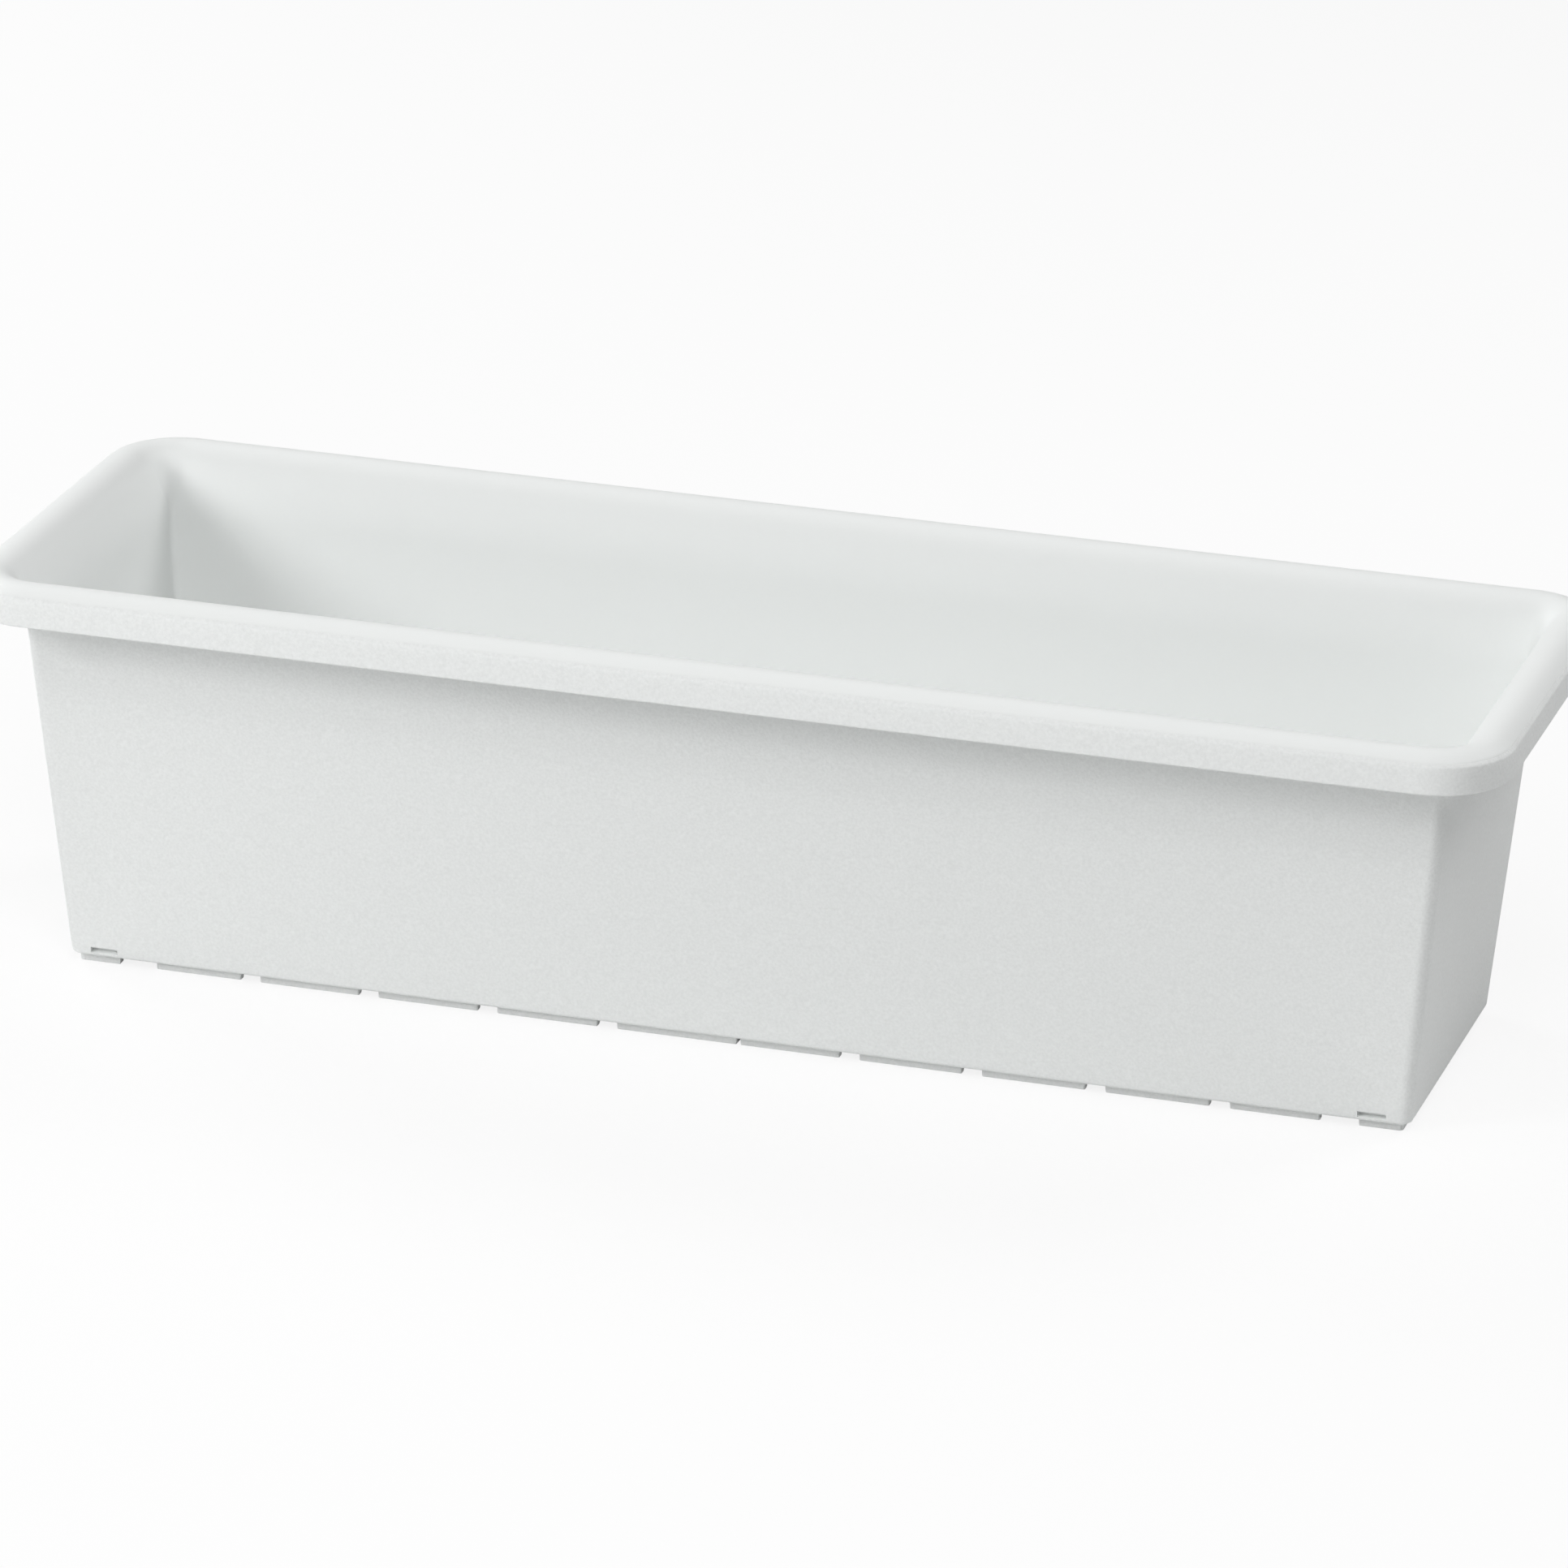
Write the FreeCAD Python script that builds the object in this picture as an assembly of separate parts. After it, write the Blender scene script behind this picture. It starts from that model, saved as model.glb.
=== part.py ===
import FreeCAD, Part
import math
import os

# A window box: a thin-walled trough with leaning walls, a rolled rim that is hollow
# underneath, short feet and pockets for a clip-on saucer. Two slotted grids stand in it
# over a water reservoir, and two plugs push into its drain holes from below.
#
# Millimetres. X runs along the box, Y from its front to its back, Z up. The origin is
# the centre of the footprint, on the surface that the feet stand on.

Vector = FreeCAD.Vector
UP = Vector(0, 0, 1)
QUARTERS = ((1, 1), (-1, 1), (-1, -1), (1, -1))  # anticlockwise, seen from above

# Shell
rim_length = 600.0  # outside, over the skirt
rim_width = 199.0
box_height = 162.5  # from the ground to the crest of the rim
wall = 2.2  # side walls and rim, square to the surface
floor_thickness = 2.5
draft_angle = 5.0  # the walls lean out by this many degrees
corner_radius = 5.0  # upright corners, outside
bottom_edge_radius = 1.6  # outside, where the walls meet the floor
inner_edge_radius = 1.8  # inside, where the walls meet the floor

# Rim
rim_overhang = 22.0  # from the wall to the face of the skirt
rim_corner = 30.0  # radius of the skirt's corners, seen from above
corner_blend = 8.0  # height over which the walls' corners widen to follow the rim
skirt_height = 10.4  # from the skirt's lower edge to the parting ridge
crest_rise = 14.8  # from the skirt's lower edge to the crest
crest_inset = 9.7  # from the face of the skirt to the crest
ridge_radius = 2.2  # soft edge between the roof of the rim and its skirt
lip_chamfer = 0.6  # the skirt's lower edge, outside

# Feet: a low wall under the floor, set back from the walls and broken by gaps
foot_height = 3.5
foot_inset = 3.0
foot_thickness = 4.0
foot_pitch = 48.0
foot_gap = 7.4
gaps_each_way = 4  # on each side of the middle, along the box
last_foot_length = 35.0
corner_gap = 14.6
cross_foot_slit = 1.0  # beside the cross foot that closes the middle gap

# Pockets that the saucer's clips snap into, above the corner feet
clip_length = 11.0
clip_height = 2.6
clip_depth = 2.6
clip_rise = 3.8  # from the wall's lower edge to the top of the pocket
clip_slope = 0.9  # the pocket's floor falls by this much from its back to its mouth
clip_backing = 2.4  # extra wall behind the pocket

# Supports for the grids
ledge_height = 14.0  # above the floor
ledge_reach = 19.0  # of the corner ledges, in from the long walls
ledge_rib = 1.8
ledge_start = 29.5  # from the outside of the end wall, at the floor, to the rib
post_length = 18.0
post_width = 12.0
post_spacing = 70.0

# Drains
drain_place = 131.0  # from the middle of the box to the axis of a drain
drain_radius = 7.0
drain_collar = 3.0  # thickness of the collar round the hole
drain_collar_height = 4.5  # above the floor

# Plugs
plug_running_gap = 0.05  # radial, between the shank and its hole
plug_head_radius = 12.5
plug_head_thickness = 2.2
plug_proud = 1.0  # how far the shank stands above the collar
plug_wall = 1.6
plug_bar_width = 2.4
plug_lead_in = 0.5

# Grids
seat_gap = 0.3  # between pieces that rest on each other
grid_side_gap = 1.2  # between a grid and the wall
grid_middle_gap = 1.0  # between the two grids
grid_thickness = 2.0
grid_lip_height = 5.0  # of the upturned edge, over the plate
grid_lip = 1.8
grid_rib_depth = 4.0
grid_rib = 1.8
grid_rib_spacing = 84.0
slot_length = 32.0
slot_width = 4.0
slot_pitch = 17.0
slot_rows = 3
slot_row_pitch = 40.0
slot_margin = 3.0  # least plate between a slot and the lip or a cup

# Wick cups, which hang from the grids and hold soil down in the water
cup_top = 40.0
cup_bottom = 31.0
cup_corner = 5.0
cup_wall = 1.8
cup_spacing = 132.0
cup_slit_width = 6.0
cup_slit_height = 8.0

# Worked out from the sizes above
draft = math.tan(math.radians(draft_angle))
wall_across = wall / math.cos(math.radians(draft_angle))  # measured level
skirt_bottom = box_height - crest_rise
blend_start = skirt_bottom - corner_blend
top_corner = rim_corner - rim_overhang  # the walls' corners where they meet the rim
floor_top = foot_height + floor_thickness
ledge_top = floor_top + ledge_height
grid_bottom = ledge_top + seat_gap
grid_top = grid_bottom + grid_thickness


def line(start, end):
    return Part.LineSegment(start, end).toShape()


def arc(start, middle, end):
    return Part.Arc(start, middle, end).toShape()


def round_arc(centre, radius, start, end):
    # An arc in the XZ plane, between two angles in degrees from +X towards +Z.
    points = []
    for angle in (start, (start + end) / 2, end):
        turn = math.radians(angle)
        points.append(centre + Vector(radius * math.cos(turn), 0, radius * math.sin(turn)))
    return arc(*points)


def box(low, high):
    size = high - low
    return Part.makeBox(size.x, size.y, size.z, low)


def fuse_all(shapes):
    return shapes[0].multiFuse(shapes[1:]).removeSplitter()


def corner_arcs(half_x, half_y, radius, z):
    # The start, middle and end of each rounded corner, anticlockwise from +X +Y.
    corners = []
    for turn, (side_x, side_y) in enumerate(QUARTERS):
        centre = Vector(side_x * (half_x - radius), side_y * (half_y - radius), z)
        on_arc = []
        for angle in (90 * turn, 90 * turn + 45, 90 * turn + 90):
            heading = math.radians(angle)
            on_arc.append(centre + Vector(radius * math.cos(heading), radius * math.sin(heading), 0))
        corners.append(on_arc)
    return corners


def outline(corners):
    edges = []
    for turn, on_arc in enumerate(corners):
        edges.append(arc(*on_arc))
        edges.append(line(on_arc[2], corners[(turn + 1) % 4][0]))
    return Part.Wire(edges)


def slanted_block(lower, upper):
    # A closed block between two outlines: four flat sides, and four round corners that
    # lean with them and may change their radius on the way.
    faces = [Part.Face(outline(lower)), Part.Face(outline(upper))]
    for turn in range(4):
        follow = (turn + 1) % 4
        rise = upper[turn][0] - lower[turn][0]
        if rise.distanceToPoint(upper[turn][2] - lower[turn][2]) < 1e-6:
            faces.append(arc(*lower[turn]).extrude(rise))
        else:
            faces.append(Part.makeRuledSurface(arc(*lower[turn]), arc(*upper[turn])))
        side = [lower[turn][2], lower[follow][0], upper[follow][0], upper[turn][2]]
        faces.append(Part.Face(Part.makePolygon(side + side[:1])))
    shell = Part.makeShell(faces)
    shell.sewShape()
    if Part.makeSolid(shell).Orientation == "Reversed":
        shell.reverse()
    return Part.makeSolid(shell)


def wall_corners(z, inset):
    # The outer wall's corners at a height, drawn in by an inset.
    lean = draft * (skirt_bottom - z)
    half_x = rim_length / 2 - rim_overhang - lean - inset
    half_y = rim_width / 2 - rim_overhang - lean - inset
    radius = corner_radius if z < skirt_bottom else top_corner
    return corner_arcs(half_x, half_y, max(radius - inset, 0.5), z)


def leaning_block(low, high, inset):
    return slanted_block(wall_corners(low, inset), wall_corners(high, inset))


def wall_block(low, inset, radius):
    # Fills the walls from a height up to the skirt's lower edge, in three courses: one
    # with its bottom edge rounded, the tall plain one, and the one under the rim.
    seam = low + 2 * radius
    course = leaning_block(low, seam, inset)
    bottom_edges = [edge for edge in course.Edges if edge.BoundBox.ZMax - low < 1e-4]
    walls = leaning_block(seam, blend_start, inset)
    under_rim = leaning_block(blend_start, skirt_bottom, inset)
    return fuse_all([course.makeFillet(radius, bottom_edges), walls, under_rim])


def inner_half_x(z):
    return rim_length / 2 - rim_overhang - draft * (skirt_bottom - z) - wall_across


def inner_half_y(z):
    return rim_width / 2 - rim_overhang - draft * (skirt_bottom - z) - wall_across


def rim_section():
    # The rim's section, with x = 0 on the upright axis of a rounded corner and the face
    # of the skirt at x = rim_corner. It starts at the wall and ends back at it.
    inside = top_corner - wall_across
    crest_x = rim_corner - crest_inset
    ridge_z = skirt_bottom + skirt_height

    # The roof falls from the crest to the ridge on one arc.
    fall = box_height - ridge_z
    roof_radius = (crest_inset**2 + fall**2) / (2 * fall)
    roof_centre = Vector(crest_x, 0, box_height - roof_radius)
    soft_centre_x = rim_corner - ridge_radius
    soft_rise = math.sqrt((roof_radius - ridge_radius) ** 2 - (soft_centre_x - crest_x) ** 2)
    soft_centre = Vector(soft_centre_x, 0, roof_centre.z + soft_rise)
    roof_end = math.degrees(math.atan2(soft_rise, soft_centre_x - crest_x))

    # The flare falls from the crest to the leaning inner wall on another.
    sweep = math.radians(90 - draft_angle)
    room = crest_x - inside - draft * crest_rise
    flare_radius = room / (math.sin(sweep) - draft * (1 - math.cos(sweep)))
    flare_centre = Vector(crest_x, 0, box_height - flare_radius)
    flare_end = 180 - draft_angle

    under_roof = roof_radius - wall
    under_end = math.degrees(math.acos((rim_corner - wall - crest_x) / under_roof))
    lip = [
        Vector(rim_corner, 0, skirt_bottom + lip_chamfer),
        Vector(rim_corner - lip_chamfer, 0, skirt_bottom),
        Vector(rim_corner - wall, 0, skirt_bottom),
    ]

    flare = round_arc(flare_centre, flare_radius, flare_end, 90)
    roof = round_arc(roof_centre, roof_radius, 90, roof_end)
    soft_ridge = round_arc(soft_centre, ridge_radius, roof_end, 0)
    lip_edge = line(lip[0], lip[1])
    lip_foot = line(lip[1], lip[2])
    under_roof_arc = round_arc(roof_centre, under_roof, under_end, 90)
    under_flare = round_arc(flare_centre, flare_radius - wall, 90, flare_end)
    pieces = (flare, roof, soft_ridge, lip_edge, lip_foot, under_roof_arc, under_flare)

    edges = [line(Vector(inside, 0, skirt_bottom), flare.firstVertex().Point)]
    for piece in pieces:
        start = piece.firstVertex().Point
        last = edges[-1].lastVertex().Point
        if start.distanceToPoint(last) > 1e-6:
            edges.append(line(last, start))
        edges.append(piece)
    outside = Vector(top_corner, 0, skirt_bottom)
    edges.append(line(edges[-1].lastVertex().Point, outside))
    edges.append(line(outside, Vector(inside, 0, skirt_bottom)))
    return Part.Face(Part.Wire(edges))


def carry_round(section, axis_x, axis_y):
    # Extrudes a section along the four sides and turns it round the four corner axes.
    pieces = []
    for turn, (side_x, side_y) in enumerate(QUARTERS):
        corner = Vector(side_x * axis_x, side_y * axis_y, 0)
        here = section.copy()
        here.rotate(Vector(0, 0, 0), UP, 90 * turn)
        here.translate(corner)
        pieces.append(here.revolve(corner, UP, 90))
        heading = math.radians(90 * turn - 90)
        run = 2 * (axis_y if turn % 2 == 0 else axis_x)
        pieces.append(here.extrude(Vector(run * math.cos(heading), run * math.sin(heading), 0)))
    return fuse_all(pieces)


def mirrored_four(shape):
    # A shape in the +X +Y quarter, and its images in the other three.
    across = shape.mirror(Vector(0, 0, 0), Vector(1, 0, 0))
    pair = [shape, across]
    return pair + [piece.mirror(Vector(0, 0, 0), Vector(0, 1, 0)) for piece in pair]


def feet():
    half_x = inner_half_x(foot_height) + wall_across - foot_inset
    half_y = inner_half_y(foot_height) + wall_across - foot_inset
    radius = corner_radius - foot_inset
    outside = Part.Face(outline(corner_arcs(half_x, half_y, radius, 0)))
    within = corner_arcs(half_x - foot_thickness, half_y - foot_thickness, radius / 2, 0)
    inside = Part.Face(outline(within))
    low_wall = outside.cut(inside).extrude(Vector(0, 0, foot_height))

    # Gaps along the box, then the wide one before each corner foot, then the ends' gaps.
    half_gap = foot_gap / 2
    spans = []
    for step in range(1, gaps_each_way + 1):
        spans.append((step * foot_pitch - half_gap, step * foot_pitch + half_gap))
    last_end = gaps_each_way * foot_pitch + half_gap + last_foot_length
    spans.append((last_end, last_end + corner_gap))
    cutters = []
    for start, end in spans:
        for side in (1, -1):
            low, high = sorted((side * start, side * end))
            cutters.append(box(Vector(low, -half_y, 0), Vector(high, half_y, foot_height)))
    for side in (1, -1):
        middle = side * foot_pitch / 2
        low = Vector(-half_x, middle - half_gap, 0)
        cutters.append(box(low, Vector(half_x, middle + half_gap, foot_height)))

    # A slit marks one side of the cross foot, which runs from the front feet to the back.
    low = Vector(half_gap, -half_y, 0)
    cutters.append(box(low, Vector(half_gap + cross_foot_slit, half_y, foot_height)))
    cross_low = Vector(-half_gap, foot_thickness - half_y, 0)
    cross_foot = box(cross_low, Vector(half_gap, half_y - foot_thickness, foot_height))
    return [low_wall.cut(cutters), cross_foot]


def clip_span():
    # From and to, along X: the pocket lies over the near end of the corner foot.
    start = gaps_each_way * foot_pitch + foot_gap / 2 + last_foot_length + corner_gap
    return start, start + clip_length


def clip_pocket():
    # In the +X +Y quarter. Its floor slopes down and out through the face of the wall.
    start, end = clip_span()
    top = foot_height + clip_rise
    mouth_bottom = top - clip_height
    face_y = inner_half_y(top) + wall_across
    corners = [
        Vector(start, face_y - clip_depth, top),
        Vector(start, face_y + clip_depth, top),
        Vector(start, face_y + clip_depth, mouth_bottom - clip_slope),
        Vector(start, face_y - clip_depth, mouth_bottom + clip_slope),
    ]
    return Part.Face(Part.makePolygon(corners + corners[:1])).extrude(Vector(end - start, 0, 0))


def inner_supports():
    # Corner ledges, the thicker wall behind the clip pockets, and two posts in the
    # middle. They run into the walls here and are trimmed to them later.
    reach_x = inner_half_x(ledge_top) + wall_across
    reach_y = inner_half_y(ledge_top) + wall_across
    rib_x = inner_half_x(floor_top) + wall_across - ledge_start
    rib_y = inner_half_y(floor_top) - ledge_reach
    cross_rib = box(Vector(rib_x, rib_y, foot_height), Vector(rib_x + ledge_rib, reach_y, ledge_top))
    long_rib = box(Vector(rib_x, rib_y, foot_height), Vector(reach_x, rib_y + ledge_rib, ledge_top))

    start, end = clip_span()
    backing_top = foot_height + clip_rise + wall
    backing_y = inner_half_y(floor_top) - clip_backing
    backing_low = Vector(start - wall, backing_y, foot_height)
    backing = box(backing_low, Vector(end + wall, reach_y, backing_top))

    supports = []
    for piece in (cross_rib, long_rib, backing):
        supports += mirrored_four(piece)
    for side in (1, -1):
        middle_y = side * post_spacing / 2
        low = Vector(-post_length / 2, middle_y - post_width / 2, foot_height)
        high = Vector(post_length / 2, middle_y + post_width / 2, ledge_top)
        hollow = Vector(ledge_rib, ledge_rib, 0)
        bore = box(low + hollow + Vector(0, 0, floor_thickness), high - hollow)
        supports.append(box(low, high).cut(bore))
    return supports


def ring(outer_radius, inner_radius, low, high, place):
    outside = Part.makeCylinder(outer_radius, high - low, Vector(place, 0, low))
    return outside.cut(Part.makeCylinder(inner_radius, high - low, Vector(place, 0, low)))


def planter_box():
    outside = wall_block(foot_height, 0, bottom_edge_radius)
    cavity = wall_block(floor_top, wall_across, inner_edge_radius)
    trough = outside.cut(cavity)
    rim = carry_round(rim_section(), rim_length / 2 - rim_corner, rim_width / 2 - rim_corner)

    # What stands inside is trimmed to the middle of the walls and the floor.
    mid_floor = foot_height + floor_thickness / 2
    core = leaning_block(mid_floor, blend_start, wall_across / 2)
    supports = [core.common(piece) for piece in inner_supports()]
    holes = []
    collar_radius = drain_radius + drain_collar
    collar_top = floor_top + drain_collar_height
    for place in (drain_place, -drain_place):
        supports.append(ring(collar_radius, drain_radius, foot_height, collar_top, place))
        holes.append(Part.makeCylinder(drain_radius, collar_top, Vector(place, 0, 0)))
    shell = fuse_all([trough, rim] + supports + feet())
    pockets = mirrored_four(clip_pocket())
    return shell.cut(holes + pockets)


def wick_cup(middle_x):
    # A tapered square cup with a flat bottom and a slit low in each of its sides. Gives
    # its outside, its inside and the two bars that cut the slits through it.
    bottom = floor_top + seat_gap
    skins = []
    for inset, low in ((0, bottom), (cup_wall, bottom + cup_wall)):
        levels = []
        for size, z in ((cup_bottom, low), (cup_top, grid_top)):
            half = size / 2 - inset
            levels.append(corner_arcs(half, half, cup_corner - inset, z))
        skin = slanted_block(*levels)
        skin.translate(Vector(middle_x, 0, 0))
        skins.append(skin)
    slits = []
    slit_low = bottom + cup_wall
    for half_x, half_y in ((cup_top / 2, cup_slit_width / 2), (cup_slit_width / 2, cup_top / 2)):
        low = Vector(middle_x - half_x, -half_y, slit_low)
        slits.append(box(low, Vector(middle_x + half_x, half_y, slit_low + cup_slit_height)))
    return skins[0], skins[1], slits


def cup_places():
    middle = (inner_half_x(grid_bottom) - grid_side_gap) / 2
    return middle - cup_spacing / 2, middle + cup_spacing / 2


def slot_cutters():
    # Slots across the plate, in rows, wherever they clear the lip and the cups.
    low_x = grid_middle_gap / 2 + grid_lip + slot_margin
    high_x = inner_half_x(grid_bottom) - grid_side_gap - grid_lip - slot_margin
    count = int((high_x - low_x - slot_width) // slot_pitch) + 1
    first = (low_x + high_x) / 2 - (count - 1) * slot_pitch / 2
    clear_of_cup = cup_top / 2 + slot_margin
    cutters = []
    for column in range(count):
        x = first + column * slot_pitch
        for row in range(slot_rows):
            y = (row - (slot_rows - 1) / 2) * slot_row_pitch
            near_cup = any(abs(x - place) < clear_of_cup + slot_width / 2 for place in cup_places())
            if near_cup and abs(y) < clear_of_cup + slot_length / 2:
                continue
            low = Vector(x - slot_width / 2, y - slot_length / 2, grid_bottom)
            cutters.append(box(low, low + Vector(slot_width, slot_length, grid_thickness)))
    return cutters


def reservoir_grid():
    # The half on the +X side.
    inset = wall_across + grid_side_gap
    lip_top = grid_top + grid_lip_height
    blank = leaning_block(grid_bottom, lip_top, inset)
    hollow = leaning_block(grid_top, lip_top, inset + grid_lip)
    reach = rim_length / 2
    start = grid_middle_gap / 2
    beside = Vector(start, -reach, grid_bottom)
    tray = blank.common(box(beside, Vector(reach, reach, lip_top)))
    within = Vector(start + grid_lip, -reach, grid_top)
    tray = tray.cut(hollow.common(box(within, Vector(reach, reach, lip_top))))

    # Two ribs under the plate, between the post and the corner ledges.
    rib_end = inner_half_x(floor_top) + wall_across - ledge_start - grid_rib
    rib_start = post_length / 2 + grid_rib
    ribs = []
    for side in (1, -1):
        rib_y = side * grid_rib_spacing / 2
        low = Vector(rib_start, rib_y - grid_rib / 2, grid_bottom - grid_rib_depth)
        ribs.append(box(low, Vector(rib_end, rib_y + grid_rib / 2, grid_bottom)))

    cups = []
    hollows = slot_cutters()
    for place in cup_places():
        cup, inside, slits = wick_cup(place)
        cups.append(cup)
        hollows += [inside] + slits
    return fuse_all([tray] + ribs + cups).cut(hollows)


def drain_plug(place):
    head_top = foot_height - seat_gap
    head_bottom = head_top - plug_head_thickness
    shank_top = floor_top + drain_collar_height + plug_proud
    shank_radius = drain_radius - plug_running_gap
    start = Vector(place, 0, head_bottom)
    head = Part.makeCylinder(plug_head_radius, plug_head_thickness, start)
    straight = shank_top - plug_lead_in - head_bottom
    shank = Part.makeCylinder(shank_radius, straight, start)
    tip_start = Vector(place, 0, shank_top - plug_lead_in)
    tip = Part.makeCone(shank_radius, shank_radius - plug_lead_in, plug_lead_in, tip_start)

    # Hollow from below, with a bar across it to pull by.
    hollow_radius = shank_radius - plug_wall
    hollow = Part.makeCylinder(hollow_radius, shank_top - plug_wall - head_bottom, start)
    bar_low = Vector(place - hollow_radius, -plug_bar_width / 2, head_bottom)
    bar_high = Vector(place + hollow_radius, plug_bar_width / 2, head_top)
    return fuse_all([head, shank, tip]).cut(hollow).fuse(box(bar_low, bar_high)).removeSplitter()


def turned_half(shape):
    other = shape.copy()
    other.rotate(Vector(0, 0, 0), UP, 180)
    return other


grid = reservoir_grid()
nodes = {
    "planter_box": planter_box(),
    "reservoir_grid_right": grid,
    "reservoir_grid_left": turned_half(grid),
    "drain_plug_right": drain_plug(drain_place),
    "drain_plug_left": drain_plug(-drain_place),
}

os.makedirs("parts", exist_ok=True)
for name, shape in nodes.items():
    shape.exportStep("parts/" + name + ".step")
    print(f"{name}: {len(shape.Solids)} solid(s), valid {shape.isValid()}, {shape.Volume / 1000:.1f} cm3")
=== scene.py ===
import math

import bmesh
import bpy
from mathutils import Matrix, Vector


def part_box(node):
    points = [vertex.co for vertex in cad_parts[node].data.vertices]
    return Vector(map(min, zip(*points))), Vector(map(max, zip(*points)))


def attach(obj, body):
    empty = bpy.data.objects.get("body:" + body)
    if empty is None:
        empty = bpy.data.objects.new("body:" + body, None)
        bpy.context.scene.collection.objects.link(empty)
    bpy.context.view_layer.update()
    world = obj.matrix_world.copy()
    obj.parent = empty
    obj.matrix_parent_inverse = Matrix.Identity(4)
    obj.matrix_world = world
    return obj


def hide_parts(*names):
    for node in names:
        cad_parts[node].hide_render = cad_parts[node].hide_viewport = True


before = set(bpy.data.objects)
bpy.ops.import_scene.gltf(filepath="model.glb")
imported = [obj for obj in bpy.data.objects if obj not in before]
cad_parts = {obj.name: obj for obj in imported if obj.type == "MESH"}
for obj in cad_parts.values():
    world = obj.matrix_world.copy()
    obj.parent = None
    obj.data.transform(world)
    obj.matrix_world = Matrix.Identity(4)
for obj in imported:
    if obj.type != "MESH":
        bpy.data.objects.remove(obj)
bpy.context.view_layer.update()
print("The frame is loaded")

mm = 0.001
quarters = ((1, 1), (-1, 1), (-1, -1), (1, -1))  # anticlockwise, seen from above
softShare = 0.3  # where the middle ring of a soft edge lies, as a share of the edge
sharpest = 0.5  # mm, the least radius of a ring's corner
past = 1.0  # mm, how far a cutter reaches past the face that it opens
sharpAngle = 32  # degrees; steeper edges aren't smoothed over


# Meshes are skins over rings: closed rows of points, all with as many points. Sizes are
# in millimetres until a skin is made.

def arcPoints(centre, radius, start, end, steps):
    # A round stretch of a section, between two angles in degrees
    points = []
    for step in range(steps + 1):
        turn = math.radians(start + (end - start) * step / steps)
        points.append((centre[0] + radius * math.cos(turn), centre[1] + radius * math.sin(turn)))
    return points


def roundedRing(low, high, radii, z, steps, stops=()):
    # A rectangle with round corners; stops are further places along its two long sides
    points = []
    for turn, (sideX, sideY) in enumerate(quarters):
        radius = radii[turn]
        centreX = high[0] - radius if sideX > 0 else low[0] + radius
        centreY = high[1] - radius if sideY > 0 else low[1] + radius
        for step in range(steps + 1):
            heading = math.radians(90 * (turn + step / steps))
            outX, outY = radius * math.cos(heading), radius * math.sin(heading)
            points.append(Vector((centreX + outX, centreY + outY, z)))
        if turn == 0:
            points += [Vector((place, high[1], z)) for place in reversed(stops)]
        if turn == 2:
            points += [Vector((place, low[1], z)) for place in stops]
    return points


def circleRing(middle, radius, z, steps):
    headings = [math.tau * step / steps for step in range(steps)]
    return [Vector((middle + radius * math.cos(turn), radius * math.sin(turn), z)) for turn in headings]


def drawnIn(ring, inset, z):
    # The same ring at another height, moved towards its inside
    points = []
    for place, point in enumerate(ring):
        before = (point - ring[place - 1]).to_2d().normalized()
        after = (ring[(place + 1) % len(ring)] - point).to_2d().normalized()
        inward = Vector((-(before + after).y, (before + after).x)).normalized()
        share = max(inward.dot(Vector((-after.y, after.x))), 0.5)  # a corner moves further
        points.append(Vector((point.x + inward.x * inset / share, point.y + inward.y * inset / share, z)))
    return points


def skin(mesh, rings, secondFrom=math.inf):
    # From the ring numbered secondFrom on, the faces take the piece's second finish
    rows = [[mesh.verts.new(point * mm) for point in ring] for ring in rings]
    made = [mesh.faces.new(reversed(rows[0]))]
    for row, (lower, upper) in enumerate(zip(rows, rows[1:])):
        for here in range(len(lower)):
            after = (here + 1) % len(lower)
            made.append(mesh.faces.new((lower[here], lower[after], upper[after], upper[here])))
            made[-1].material_index = int(row >= secondFrom)
    made.append(mesh.faces.new(rows[-1]))
    made[-1].material_index = made[-2].material_index


def block(mesh, lower, upper, softLow=0.0, softHigh=0.0):
    # An upright piece between two outlines, its ends drawn in over a soft edge
    lowZ, highZ = lower[0].z, upper[0].z
    rings = [lower, upper]
    if softLow:
        part = softLow * softShare
        rings[:1] = [drawnIn(lower, softLow, lowZ), drawnIn(lower, part, lowZ + part)]
        rings.insert(2, drawnIn(lower, 0, lowZ + softLow))
    if softHigh:
        part = softHigh * softShare
        rings[-1:] = [drawnIn(upper, 0, highZ - softHigh), drawnIn(upper, part, highZ - part)]
        rings.append(drawnIn(upper, softHigh, highZ))
    skin(mesh, rings)


def asObject(mesh, name):
    bmesh.ops.recalc_face_normals(mesh, faces=mesh.faces)
    data = bpy.data.meshes.new(name)
    mesh.to_mesh(data)
    mesh.free()
    for finish in range(2):
        data.materials.append(None)  # filled once the piece is whole
    made = bpy.data.objects.new(name, data)
    bpy.context.scene.collection.objects.link(made)
    return made


def settle(target):
    # Keeps what the modifiers made
    graph = bpy.context.evaluated_depsgraph_get()
    made = bpy.data.meshes.new_from_object(target.evaluated_get(graph))
    target.modifiers.clear()
    target.data = made


def carve(target, mesh, operation, overlaps=False, finish=0):
    # Adds a mesh to a piece or cuts it away. Overlaps says that its blocks run into each
    # other, and finish which of the piece's two finishes its faces take
    for face in mesh.faces:
        face.material_index = finish
    tool = asObject(mesh, "tool")
    modifier = target.modifiers.new(operation.title(), "BOOLEAN")
    modifier.operation = operation
    modifier.object = tool
    modifier.solver = "EXACT"
    modifier.use_self = overlaps
    settle(target)
    bpy.data.objects.remove(tool)


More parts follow.
